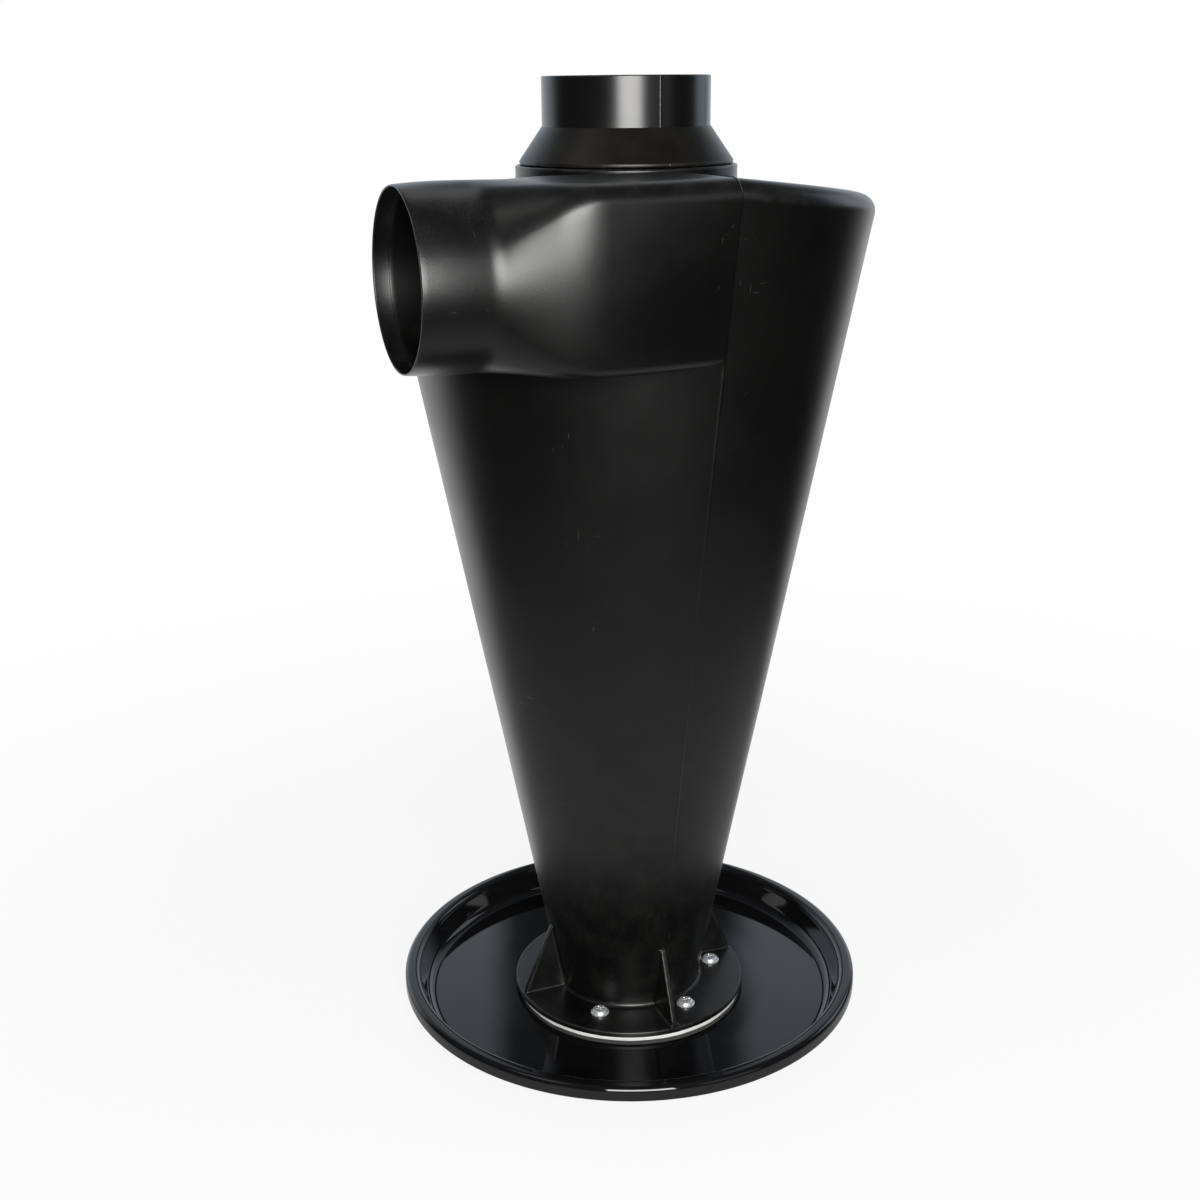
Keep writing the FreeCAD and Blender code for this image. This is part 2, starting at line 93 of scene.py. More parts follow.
def makePiece(name, grids, look, nodes, sharpAngle=40, weld=2e-6):
    # grids are (points of rows x columns x 3, wrap rows, wrap columns, wear of rows x columns or None)
    points, faces, wear, start = [], [], [], 0
    for grid, wrapRows, wrapColumns, mask in grids:
        rows, columns = grid.shape[:2]
        points.append(grid.reshape(-1, 3))
        faces.append(cellCorners(rows, columns, wrapRows, wrapColumns) + start)
        wear.append(np.broadcast_to(0.0 if mask is None else mask, (rows, columns)).ravel())
        start += rows * columns
    points, faces, wear = np.concatenate(points), np.concatenate(faces), np.concatenate(wear)
    mesh = bpy.data.meshes.new(name)
    mesh.from_pydata(points, [], faces)
    mesh.attributes.new("wear", "FLOAT", "POINT").data.foreach_set("value", wear.astype(np.float32))
    work = bmesh.new()
    work.from_mesh(mesh)
    bmesh.ops.remove_doubles(work, verts=work.verts, dist=weld)
    bmesh.ops.dissolve_degenerate(work, edges=work.edges, dist=weld / 4)
    bmesh.ops.recalc_face_normals(work, faces=work.faces)
    if work.calc_volume(signed=True) < 0:
        bmesh.ops.reverse_faces(work, faces=work.faces)
    work.to_mesh(mesh)
    work.free()
    mesh.shade_smooth()
    mesh.set_sharp_from_angle(angle=math.radians(sharpAngle))
    piece = bpy.data.objects.new(name, mesh)
    scene.collection.objects.link(piece)
    piece.data.materials.append(finishes[look])
    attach(piece, "root")
    if nodes:
        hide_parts(*nodes)
    print(f"{name}: {len(mesh.polygons)} faces")
    return piece


def endCaps(points):
    # a fan of faces over the first and the last loop of a run of loops
    return [(np.stack([loop, np.broadcast_to(loop.mean(0), loop.shape)]), False, True, None)
            for loop in (points[0], points[-1])]


def cornerArc(before, here, after, radius):
    # the arc that rounds a corner: its centre, its start and end as seen from there, and how far it turns
    back, ahead = before - here, after - here
    back, ahead = back / np.linalg.norm(back), ahead / np.linalg.norm(ahead)
    half = math.acos(np.clip(back @ ahead, -1, 1)) / 2
    reach = radius / math.tan(half)
    centre = here + (back + ahead) / np.linalg.norm(back + ahead) * radius / math.sin(half)
    return centre, here + back * reach - centre, here + ahead * reach - centre, math.pi - 2 * half


def arcPoints(centre, start, end, turn, step):
    return centre + (start * np.sin((1 - step) * turn) + end * np.sin(step * turn)) / math.sin(turn)


path = Sizes(arcSteps=7, support=0.35 * mm, wideArc=4 * mm, wideWear=0.35)


def roundedPath(corners, spacing):
    # a closed run of points through corners (across, up, radius), rounded by arcs, with a point close beside
    # each arc so that the flats stay flat; also the wear: 1 on tight arcs, less on wide ones, 0 on flats
    places, arcs = np.array([corner[:2] for corner in corners]), []
    for index, radius in enumerate(corner[2] for corner in corners):
        if radius == 0:
            arcs.append((places[index][None], np.zeros(1)))
            continue
        arc = cornerArc(places[index - 1], places[index], places[(index + 1) % len(corners)], radius)
        step = np.linspace(0, 1, max(3, int(path.arcSteps * arc[-1] / (math.pi / 2)) + 1))[:, None]
        wear = np.full(len(step), 1.0 if radius < path.wideArc else path.wideWear)
        arcs.append((arcPoints(*arc, step), wear))
    parts = []
    for index, arc in enumerate(arcs):
        parts.append(arc)
        first, last = arc[0][-1], arcs[(index + 1) % len(arcs)][0][0]
        length, support = np.linalg.norm(last - first), path.support
        if length >= 4 * support:
            count = int(length / spacing) + 1
            along = np.concatenate([[support], np.arange(1, count) * length / count, [length - support]])
            along = np.unique(along)
            parts.append((first + (last - first) * (along / length)[:, None], np.zeros(len(along))))
    return [np.concatenate(part) for part in zip(*parts)]


def fullTurn(count):
    return np.linspace(0, 2 * math.pi, count, endpoint=False)


def circle(angle):
    return pairs(np.cos(angle), np.sin(angle))


def pairs(first, second):
    return np.stack(np.broadcast_arrays(first, second), -1)


def ridgeTurns(count):
    # turns round the axis, even except for extra ones beside the two parting lines at 0 and pi
    near = np.array([0, 0.0016, 0.0035, 0.006, 0.009, 0.013, 0.019, 0.028])
    clearOfNear = 0.034
    near = np.concatenate([-near[:0:-1], near])
    even = fullTurn(count)
    apart = np.abs((even[:, None] - np.array([0, math.pi, 2 * math.pi])[None])).min(1) > clearOfNear
    return np.sort(np.concatenate([even[apart], near % (2 * math.pi), near + math.pi]))


def aroundAxis(turn, radius, height):
    # a turn is measured from the front seam at -Y over the right-hand side at +X
    return np.stack(np.broadcast_arrays(radius * np.sin(turn), -radius * np.cos(turn), height), -1)


def eased(share):
    share = np.clip(share, 0, 1)
    return share * share * (3 - 2 * share)


ridge = Sizes(height=0.42 * mm, width=0.55 * mm, outletProud=0.4)
# slow waves of a moulded skin: depth, and for each wave its number round the axis and its rise up the wall
waviness = Sizes(depth=0.16 * mm, waves=((3, 17.0), (5, 31.0), (8, 43.0)), phase=1.7)


def seamHeight(turn, radius, proud=1.0):
    # a raised line of bell section along each parting line
    apart = np.minimum(np.abs(turn), np.minimum(np.abs(turn - math.pi), np.abs(turn - 2 * math.pi))) * radius
    return proud * ridge.height * np.exp(-(apart / ridge.width) ** 2)


def mouldWaves(turn, height):
    total = 0
    for order, (turns, rise) in enumerate(waviness.waves):
        total = total + np.sin(turns * turn + rise * height + waviness.phase * order) / (order + 1)
    return waviness.depth * total / 2


def turnedPiece(name, corners, look, nodes, count=256, seam=False, spacing=4 * mm):
    # a closed outline of (radius, height, corner radius) carried round the axis, with parting ridges if asked
    outline, wear = roundedPath(corners, spacing)
    turn = (ridgeTurns(count) if seam else fullTurn(count))[None]
    radius, height = outline[:, :1] + 0 * turn, outline[:, 1:] + 0 * turn
    if seam:
        outside = outline[:, :1] > outline[:, 0].mean() - 0.2 * mm
        radius = radius + seamHeight(turn, radius, ridge.outletProud) * outside
    return makePiece(name, [(aroundAxis(turn, radius, height), True, True, wear[:, None])], look, nodes)


def ringPiece(name, across, upward, rounds, look, nodes, **how):
    # a ring of plain section: inner and outer radius, foot and top, and the radii of the four corners in the
    # order inner foot, outer foot, outer top, inner top
    (inner, outer), (foot, top) = across, upward
    places = ((inner, foot), (outer, foot), (outer, top), (inner, top))
    return turnedPiece(name, [(*place, radius) for place, radius in zip(places, rounds)], look, nodes, **how)


def feed(tree, socket, value):
    # a socket is linked to another socket or holds a constant, never both
    if isinstance(value, bpy.types.NodeSocket):
        tree.links.new(value, socket)
    else:
        socket.default_value = value


def newGroup(name, inputs, outputs):
    # a shader group; Place and Normal are vectors, everything else is a number
    group = bpy.data.node_groups.new(name, "ShaderNodeTree")
    for side, labels in (("INPUT", inputs), ("OUTPUT", outputs)):
        for label in labels:
            kind = "NodeSocketVector" if label in ("Place", "Normal") else "NodeSocketFloat"
            group.interface.new_socket(name=label, in_out=side, socket_type=kind)
    given, result = group.nodes.new("NodeGroupInput"), group.nodes.new("NodeGroupOutput")
    return group, given.outputs, result.inputs


def addNode(tree, kind, settings=None, **inputs):
    # inputs are named by the socket's label, or by its number as in0, in1 and so on
    node = tree.nodes.new(kind)
    for name, value in (settings or {}).items():
        setattr(node, name, value)
    for name, value in inputs.items():
        numbered = name.startswith("in") and name[2:].isdigit()
        feed(tree, node.inputs[int(name[2:]) if numbered else name], value)
    return node


def mathNode(tree, operation, first, second=0.0, third=None, clamp=False):
    inputs = {"in0": first, "in1": second}
    if third is not None:
        inputs["in2"] = third
    return addNode(tree, "ShaderNodeMath", {"operation": operation, "use_clamp": clamp}, **inputs).outputs[0]


def vectorNode(tree, operation, *inputs):
    node = addNode(tree, "ShaderNodeVectorMath", {"operation": operation})
    for socket, value in zip(node.inputs, inputs):
        feed(tree, socket, value)
    return node.outputs


def rampNode(tree, value, start, end, low=0.0, high=1.0):
    settings = {"clamp": True, "interpolation_type": "SMOOTHSTEP"}
    node = addNode(tree, "ShaderNodeMapRange", settings, Value=value)
    for name, number in (("From Min", start), ("From Max", end), ("To Min", low), ("To Max", high)):
        feed(tree, node.inputs[name], number)
    return node.outputs[0]


def noiseNode(tree, place, scale, detail=3.0, roughness=0.55):
    return addNode(tree, "ShaderNodeTexNoise", None, Vector=place, Detail=detail, Roughness=roughness,
                   Scale=scale).outputs["Fac"]


def product(tree, first, second, clamp=False):
    return mathNode(tree, "MULTIPLY", first, second, clamp=clamp)


def mixNumber(tree, share, first, second):
    return addNode(tree, "ShaderNodeMix", {"data_type": "FLOAT"}, in0=share, in2=first, in3=second).outputs[0]


def patches(tree, place, scale, detail, start, end, roughness=0.55):
    # noise kept only where it is bright
    return rampNode(tree, noiseNode(tree, place, scale, detail, roughness), start, end)


def stretched(tree, place, factors):
    return addNode(tree, "ShaderNodeMapping", None, Vector=place, Scale=factors).outputs[0]


def buildGrain():
    # fine moulded or sprayed texture: two sizes of noise summed as a height
    group, given, result = newGroup("mouldedGrain", ["Place", "Scale", "Coarseness"], ["Height"])
    place, scale = given["Place"], given["Scale"]
    fine = noiseNode(group, place, scale, 2.0)
    wide = noiseNode(group, place, product(group, scale, 0.18), 3.0)
    height = mixNumber(group, given["Coarseness"], fine, wide)
    group.links.new(height, result["Height"])
    return group


def buildScuffs():
    # thin pale scratches: noise stretched one way, kept only where brightest, broken up by a second noise
    group, given, result = newGroup("fineScuffs", ["Place", "Amount"], ["Mask", "Height"])
    place, total = given["Place"], None
    for factors in ((42.0, 42.0, 900.0), (900.0, 260.0, 60.0), (210.0, 900.0, 100.0)):
        lines = patches(group, stretched(group, place, factors), 1.0, 2.0, 0.70, 0.76)
        total = lines if total is None else mathNode(group, "MAXIMUM", total, lines)
    specks = product(group, patches(group, place, 1300.0, 1.0, 0.80, 0.84),
                     patches(group, place, 60.0, 2.0, 0.5, 0.62))
    total = product(group, total, patches(group, place, 23.0, 3.0, 0.55, 0.72))
    total = mathNode(group, "MAXIMUM", total, specks)
    total = product(group, total, given["Amount"], clamp=True)
    group.links.new(total, result["Mask"])
    group.links.new(product(group, total, -1.0), result["Height"])
    return group


def buildDust():
    # settled dust: more where the surface looks up and lower on the object, broken by soft noise
    inputs = ["Place", "Normal", "Amount", "FullBelow", "NoneAbove"]
    group, given, result = newGroup("settledDust", inputs, ["Mask"])
    place = given["Place"]
    up = addNode(group, "ShaderNodeSeparateXYZ", None, in0=given["Normal"]).outputs[2]
    height = addNode(group, "ShaderNodeSeparateXYZ", None, in0=place).outputs[2]
    lying = rampNode(group, up, 0.1, 0.95)
    lower = rampNode(group, height, given["FullBelow"], given["NoneAbove"], 1.0, 0.0)
    soft = patches(group, place, 55.0, 4.0, 0.35, 0.75, 0.6)
    fine = patches(group, place, 900.0, 2.0, 0.45, 0.75)
    mask = mathNode(group, "MAXIMUM", lying, product(group, lower, 0.6))
    mask = product(group, mask, soft)
    mask = mathNode(group, "MULTIPLY_ADD", mask, fine, product(group, mask, 0.35))
    group.links.new(product(group, mask, given["Amount"], clamp=True), result["Mask"])
    return group


def buildEdgeWear():
    # rubbed corners: the piece's wear attribute, broken by noise
    group, given, result = newGroup("rubbedEdges", ["Place", "Wear", "Amount"], ["Mask"])
    broken = patches(group, given["Place"], 140.0, 4.0, 0.35, 0.65, 0.65)
    mask = product(group, given["Wear"], broken)
    group.links.new(product(group, mask, given["Amount"], clamp=True), result["Mask"])
    return group


def buildMottle():
    # slow changes of tone over a large face
    group, given, result = newGroup("slowMottle", ["Place", "Scale"], ["Mask"])
    group.links.new(patches(group, given["Place"], given["Scale"], 4.0, 0.3, 0.7, 0.6), result["Mask"])
    return group


groups = {"grain": buildGrain(), "scuffs": buildScuffs(), "dust": buildDust(), "edges": buildEdgeWear(),
          "mottle": buildMottle()}
print("shader groups ready")


def useGroup(tree, name, **inputs):
    node = tree.nodes.new("ShaderNodeGroup")
    node.node_tree = groups[name]
    for label, value in inputs.items():
        feed(tree, node.inputs[label], value)
    return node.outputs


def mixColour(tree, factor, first, second):
    first, second = (colour if isinstance(colour, bpy.types.NodeSocket) else (*colour, 1)
                     for colour in (first, second))
    return addNode(tree, "ShaderNodeMix", {"data_type": "RGBA"}, in0=factor, in6=first, in7=second).outputs[2]


def emptyTree(owner):
    owner.use_nodes = True
    owner.node_tree.nodes.clear()
    return owner.node_tree


def finish(name, look):
    # one finish: a base colour with mottle, grain, rubbed edges, scuffs and dust, each in its own amount
    material = bpy.data.materials.new(name)
    tree = emptyTree(material)
    shader = tree.nodes.new("ShaderNodeBsdfPrincipled")
    tree.links.new(shader.outputs[0], tree.nodes.new("ShaderNodeOutputMaterial").inputs[0])
    coordinates = tree.nodes.new("ShaderNodeTexCoord")
    place, normal = coordinates.outputs["Object"], coordinates.outputs["Normal"]
    worn = addNode(tree, "ShaderNodeAttribute", {"attribute_name": "wear"}).outputs["Fac"]
    grain = useGroup(tree, "grain", Place=place, Scale=look.grainScale, Coarseness=look.grainCoarse)
    mottle = useGroup(tree, "mottle", Place=place, Scale=look.mottleScale)["Mask"]
    scuffs = useGroup(tree, "scuffs", Place=place, Amount=look.scuffs)
    dust = useGroup(tree, "dust", Place=place, Normal=normal, Amount=look.dust, FullBelow=look.dustFull,
                    NoneAbove=look.dustNone)["Mask"]
    edges = useGroup(tree, "edges", Place=place, Wear=worn, Amount=look.edges)["Mask"]
    colour = mixColour(tree, mottle, look.colour, look.colourOther)
    colour = mixColour(tree, edges, colour, look.edgeColour)
    colour = mixColour(tree, scuffs["Mask"], colour, look.scuffColour)
    tree.links.new(mixColour(tree, dust, colour, look.dustColour), shader.inputs["Base Color"])
    rough = mathNode(tree, "MULTIPLY_ADD", mottle, look.roughSpread, look.rough)
    rough = mathNode(tree, "MULTIPLY_ADD", edges, look.edgeRough, rough)
    rough = mathNode(tree, "MULTIPLY_ADD", dust, look.dustRough, rough, clamp=True)
    tree.links.new(rough, shader.inputs["Roughness"])
    height = mathNode(tree, "MULTIPLY_ADD", scuffs["Height"], look.scuffDepth, grain["Height"])
    bump = addNode(tree, "ShaderNodeBump", None, Height=height, Strength=1.0, Distance=look.grainDepth)
    tree.links.new(bump.outputs[0], shader.inputs["Normal"])
    shader.inputs["Metallic"].default_value = look.metal
    shader.inputs["IOR"].default_value = look.ior
    return material


plainLook = dict(
    colour=(0.0022, 0.0021, 0.0020), colourOther=(0.0031, 0.0029, 0.0027), mottleScale=14.0,
    rough=0.31, roughSpread=0.05, edgeRough=-0.06, dustRough=0.35, metal=0.0, ior=1.5,
    grainScale=950.0, grainCoarse=0.35, grainDepth=0.05 * mm,
    scuffs=0.16, scuffColour=(0.32, 0.32, 0.31), scuffDepth=0.5,
    dust=0.06, dustColour=(0.26, 0.25, 0.23), dustFull=0.03, dustNone=0.34,
    edges=0.25, edgeColour=(0.05, 0.049, 0.047),
)
looks = {
    "bodyPlastic": {},
    "reducerPlastic": dict(
        colour=(0.0040, 0.0033, 0.0025), colourOther=(0.0058, 0.0048, 0.0037), rough=0.36, ior=1.42,
        grainDepth=0.03 * mm, dust=0.05, scuffs=0.08),
    "collarPlastic": dict(
        colour=(0.003, 0.003, 0.003), colourOther=(0.004, 0.004, 0.004), rough=0.25,
        roughSpread=0.04, grainDepth=0.006 * mm, dust=0.02, scuffs=0.08, edges=0.3),
    "lidPaint": dict(
        colour=(0.0035, 0.0035, 0.004), colourOther=(0.0045, 0.0045, 0.005), rough=0.05,
        roughSpread=0.015, edgeRough=0.0, grainScale=260.0, grainCoarse=0.6,
        grainDepth=0.0015 * mm, dust=0.012, dustNone=0.06, scuffs=0.05, edges=0.05),
    "whiteFoam": dict(
        colour=(0.80, 0.80, 0.79), colourOther=(0.72, 0.72, 0.71), mottleScale=60.0, rough=0.85,
        grainScale=2600.0, grainDepth=0.25 * mm, scuffs=0.0, dust=0.10,
        dustColour=(0.22, 0.21, 0.20), edges=0.4, edgeColour=(0.55, 0.54, 0.52), edgeRough=0.0),
    "sealRubber": dict(
        colour=(0.020, 0.020, 0.020), colourOther=(0.03, 0.03, 0.03), rough=0.62,
        grainDepth=0.05 * mm, scuffs=0.1),
    "zincPlate": dict(
        colour=(0.86, 0.87, 0.89), colourOther=(0.76, 0.78, 0.82), mottleScale=220.0, metal=0.7,
        rough=0.24, roughSpread=0.12, grainScale=3000.0, grainDepth=0.01 * mm, scuffs=0.3,
        scuffColour=(0.45, 0.45, 0.46), dust=0.05, edges=0.5, edgeColour=(0.8, 0.8, 0.8),
        edgeRough=-0.05),
}
finishes = {name: finish(name, Sizes(**{**plainLook, **look})) for name, look in looks.items()}
print("finishes ready")

cone = Sizes(wall=3.5 * mm, footFillet=3.0 * mm, columns=330, rowSpacing=9 * mm, filletRows=9, insideRows=30,
    firstRow=0.6 * mm, plainFoot=2 * mm, plainReach=6 * mm)


def buildCone():
    # Outer and inner wall as one closed outline carried round the axis. The outside meets the flange in a
    # hollow fillet; the two parting lines stand proud of it.
    fillet, bent = cone.footFillet, math.pi / 2 - coneLean
    centre = np.array([coneRadius(flangeTop) + fillet / math.tan(bent / 2), flangeTop + fillet])
    fillet = centre + fillet * circle(-math.pi / 2 - np.linspace(0, 1, cone.filletRows) * bent)
    rows = int((scrollFloor - flangeTop) / cone.rowSpacing)
    rows = np.linspace(fillet[-1, 1] + cone.firstRow, scrollFloor, rows)
    outside = np.concatenate([fillet, pairs(coneRadius(rows), rows)])
    inside = np.linspace(scrollFloor, flangeTop, cone.insideRows)
    inside = pairs(coneRadius(inside) - cone.wall, inside)
    outline = np.concatenate([outside, inside])
    outer = (np.arange(len(outline)) < len(outside))[:, None]
    turn = ridgeTurns(cone.columns)[None]
    radius, height = np.broadcast_arrays(outline[:, :1], outline[:, 1:] + 0 * turn)
    fade = np.clip((outline[:, 1:] - flangeTop - cone.plainFoot) / cone.plainReach, 0, 1)
    radius = radius + outer * fade * seamHeight(turn, radius) + fade * mouldWaves(turn, height)
    return makePiece("coneShell", [(aroundAxis(turn, radius, height), True, True, None)], "bodyPlastic",
                     ["lower_cone_left", "lower_cone_right", "upper_cone_left", "upper_cone_right"])


buildCone()

scroll = Sizes(wall=3.5 * mm, shoulder=10.0 * mm, lastShoulder=4.0 * mm, lap=16.0 * mm,
    lapStart=math.radians(296), lapEnd=math.radians(312), columns=330, wallRows=16, arcRows=14, roofRows=14,
    lastWallRow=0.985, firstRoofRow=0.02, shoulderWear=0.35, ridgeFade=3 * mm, waveFade=20 * mm)


def scrollSkin(turn, inset):
    # One skin of the scroll for every turn: up the cone, round the shoulder and in over the roof, whose
    # height falls by the duct's height in one turn. Inside the inlet it laps up behind the duct's lower edge.
    top = np.maximum(roofTop - roofDrop * turn / (2 * math.pi), ductFloor + scroll.lap) - inset
    lapping = eased((turn - scroll.lapStart) / (scroll.lapEnd - scroll.lapStart))
    radius = scroll.shoulder + (scroll.lastShoulder - scroll.shoulder) * lapping - inset
    reach = radius / math.tan((math.pi / 2 - coneLean) / 2)
    cornerAcross = coneRadius(top) - inset
    share = np.concatenate([np.linspace(0, scroll.lastWallRow, scroll.wallRows - 1), [1.0]])[:, None]
    wallUp = scrollFloor + (top - reach * math.cos(coneLean) - scrollFloor) * share
    angle = np.linspace(-coneLean, math.pi / 2, scroll.arcRows)[1:-1, None]
    arcAcross = cornerAcross - reach + radius * np.cos(angle)
    arcUp = top - radius + radius * np.sin(angle)
    share = np.concatenate([[0.0], np.linspace(scroll.firstRoofRow, 1, scroll.roofRows - 1)])[:, None]
    roofAcross = (cornerAcross - reach) + (hubRadius - cornerAcross + reach) * share
    return (np.concatenate([coneRadius(wallUp) - inset, arcAcross, roofAcross]),
            np.concatenate([wallUp, arcUp, top + 0 * roofAcross]))


def buildScroll():
    turn = np.unique(np.concatenate([ridgeTurns(scroll.columns), [2 * math.pi]]))[None]
    across, up = scrollSkin(turn, 0.0)
    inside = aroundAxis(turn, *scrollSkin(turn, scroll.wall))
    wallRows, arcRows = scroll.wallRows, scroll.arcRows - 2
    part = np.arange(len(across))
    facing = np.clip((part - wallRows + 1) / (arcRows + 1), 0, 1)[:, None] * math.pi / 2
    # the parting ridge stops under the duct on the side where the duct's own wall takes over
    belowDuct = np.clip((ductFloor - up) / scroll.ridgeFade, 0, 1)
    ridgeOut = seamHeight(turn, across) * np.where(turn > math.pi, belowDuct, 1)
    waves = mouldWaves(turn, up) * (part < wallRows)[:, None]
    across = across + waves * np.clip((up.max(0) - up) / scroll.waveFade, 0, 1)
    across = across + ridgeOut * np.cos(facing)
    up = up + ridgeOut * np.sin(facing) * (part < len(part) - 2)[:, None]
    outside = aroundAxis(turn, across, up)
    wear = np.where((part >= wallRows) & (part < wallRows + arcRows), scroll.shoulderWear, 0.0)[:, None]
    grids = [(outside, False, False, wear), (inside, False, False, None)]
    # the foot on the cone and the edge against the hub, then both ends of the sweep
    edges = [(outside[edge], inside[edge]) for edge in (0, -1)]
    edges += [(outside[:, end], inside[:, end]) for end in (0, -1)]
    grids += [(np.stack(edge), False, False, None) for edge in edges]
    names = [f"scroll_{part}_{place}" for part in ("wall", "roof")
             for place in ("front_right", "back_right", "back_left", "front_left")]
    return makePiece("scrollShell", grids, "bodyPlastic", names)


scrollShell = buildScroll()

# the inlet's round tube, transition and duct in one skin
inlet = Sizes(wall=3.5 * mm, mouthWall=2.2 * mm, step=9.0 * mm, rimRound=0.7 * mm, rimRows=5,
    rimRest=0.4 * mm, corner=10.0 * mm, lowCorner=7.0 * mm, cornerSteps=16, sideSteps=16,
    cornerTurn=math.radians(50), squareAt=-74.0 * mm, onset=(0.14, 0.46), taper=1.2 * mm,
    taperReach=26.0 * mm, upright=0.5, crown=4.6 * mm, crownReach=30 * mm)


def ductLoop(inset, upright, crown):
    # the duct's section as points (y, z), upright at the hub; in front it leans with the cone where upright
    # is 0, stands straight where it is 1, and bows out by the crown
    lowZ, highZ = ductFloor + inset, roofTop - inset
    inner, frontHigh, frontLow = -hubRadius - inset, inset - coneRadius(highZ), inset - coneRadius(lowZ)
    frontLow = frontLow + upright * (frontHigh - frontLow)
    corners = np.array([(inner, highZ), (frontHigh, highZ), (frontLow, lowZ), (inner, lowZ)])
    radii = np.array([inlet.corner, inlet.corner, inlet.lowCorner, inlet.corner]) - inset
    step = np.linspace(0, 1, inlet.cornerSteps, endpoint=False)[:, None]
    share = np.linspace(0, 1, inlet.sideSteps, endpoint=False)[:, None]
    arcs = [cornerArc(corners[index - 1], corners[index], corners[(index + 1) % 4], radii[index])
            for index in range(4)]
    loop = []
    for index, (centre, start, end, turn) in enumerate(arcs):
        nextCentre, nextStart = arcs[(index + 1) % 4][:2]
        side = nextCentre + nextStart - (centre + end)
        loop += [arcPoints(centre, start, end, turn, step), centre + end + side * share]
    loop = np.concatenate(loop)
    level = 2 * (loop[:, 1] - inletCentre[1]) / (roofTop - ductFloor)
    front = eased((inletCentre[0] - loop[:, 0]) / inlet.crownReach)
    loop[:, 0] -= crown * front * (1 - np.clip(level ** 2, 0, 1))
    return loop


def tubeLoop(inset):
    # the tube's circle with its points shared out to pair with the duct's arcs and sides
    corner, side = inlet.cornerTurn, math.pi / 2 - inlet.cornerTurn
    angles, angle = [], math.pi / 4 - corner / 2
    for turn, steps in ((corner, inlet.cornerSteps), (side, inlet.sideSteps)) * 4:
        angles.append(angle + turn * np.arange(steps) / steps)
        angle += turn
    return np.array(inletCentre) + (inletRadius - inset) * circle(np.concatenate(angles))


def evenEase(share, onset):
    # a straight slope with a parabola at either end, onset[0] long at the start and onset[1] at the finish
    share = np.clip(share, 0, 1)
    start, finish = onset
    first, last = np.minimum(share, start), np.maximum(share - 1 + finish, 0)
    rise = share - start / 2 + (start - first) ** 2 / (2 * start) - last ** 2 / (2 * finish)
    return rise / (1 - (start + finish) / 2)


def inletStation(x, inset):
    # the section goes evenly from the tube's circle to the duct's, with a soft start and finish
    share = evenEase((x - inletBend) / (inlet.squareAt - inletBend), inlet.onset)[:, None, None]
    away = 1 - (1 - np.clip(x / inlet.squareAt, 0, 1)) ** 2
    loops = [(1 - s) * tubeLoop(i) + s * ductLoop(i, a * inlet.upright, a * inlet.crown)
             for s, i, a in zip(share, inset, away)]
    points = np.empty((len(x), len(loops[0]), 3))
    points[..., 0] = x[:, None]
    points[..., 1:] = np.array(loops)
    return points


def inletSkin():
    # (x, inset) along the outside from the hub to the mouth, round the lip, over the step and back inside
    rim, wall, mouthWall = inlet.rimRound, inlet.wall, inlet.mouthWall
    lipEnd, step = inletMouth + rim + inlet.rimRest, inletMouth + inlet.step
    bend = np.linspace(inletBend, inlet.squareAt, 40)
    outer = np.concatenate([np.linspace(0, inlet.squareAt, 14)[:-1], bend[::-1],
                            np.linspace(inletBend, lipEnd, 14)[1:]])
    narrowed = inlet.taper * np.maximum(1 - (outer - inletMouth) / inlet.taperReach, 0) ** 2
    turned = circle(np.linspace(0, math.pi / 2, inlet.rimRows)) * rim
    lipOut = np.array([inletMouth + rim, inlet.taper + rim]) - turned[:, ::-1]
    lipIn = np.array([inletMouth + rim, mouthWall - rim]) + turned * (-1, 1)
    steps = np.array([(lipEnd, mouthWall), (step - 0.3 * mm, mouthWall), (step, mouthWall + 0.1 * mm),
                      (step + 0.1 * mm, wall - 0.1 * mm), (step + 0.4 * mm, wall)])
    back = np.concatenate([np.linspace(step + 3 * mm, inletBend, 7), bend[1:],
                           np.linspace(inlet.squareAt, 0, 8)[1:]])
    return np.concatenate([pairs(outer, narrowed), lipOut, lipIn, steps, pairs(back, wall)])


def buildInlet():
    x, inset = inletSkin().T
    wear = np.where((x < inletMouth + inlet.rimRound) & (inset <= inlet.mouthWall), 1.0, 0.0)[:, None]
    return makePiece("inletShell", [(inletStation(x, inset), True, True, wear)], "bodyPlastic",
                     ["inlet_tube", "inlet_transition", "duct_front_wall", "duct_inner_wall", "duct_roof",
                      "duct_floor"], sharpAngle=50)


def cutInletSpace(piece):
    # Takes the air's way out of the scroll: a closed plug just inside the inlet's outer skin is cut from it.
    x = np.concatenate([np.linspace(inletMouth + 20 * mm, inletBend, 4),
                        np.linspace(inletBend, inlet.squareAt, 30)[1:], [inlet.squareAt / 2, 0.1 * mm]])
    points = inletStation(x, np.full(len(x), inlet.wall / 2))
    plug = makePiece("inletPlug", [(points, False, True, None)] + endCaps(points), "bodyPlastic", [])
    cut = piece.modifiers.new("inletWay", "BOOLEAN")
    cut.operation, cut.object, cut.solver = "DIFFERENCE", plug, "EXACT"
    bpy.context.view_layer.objects.active = piece
    bpy.ops.object.modifier_apply(modifier=cut.name)
    bpy.data.objects.remove(plug)
    print(f"scroll opened to the inlet: {len(piece.data.polygons)} faces")


buildInlet()
cutInletSpace(scrollShell)

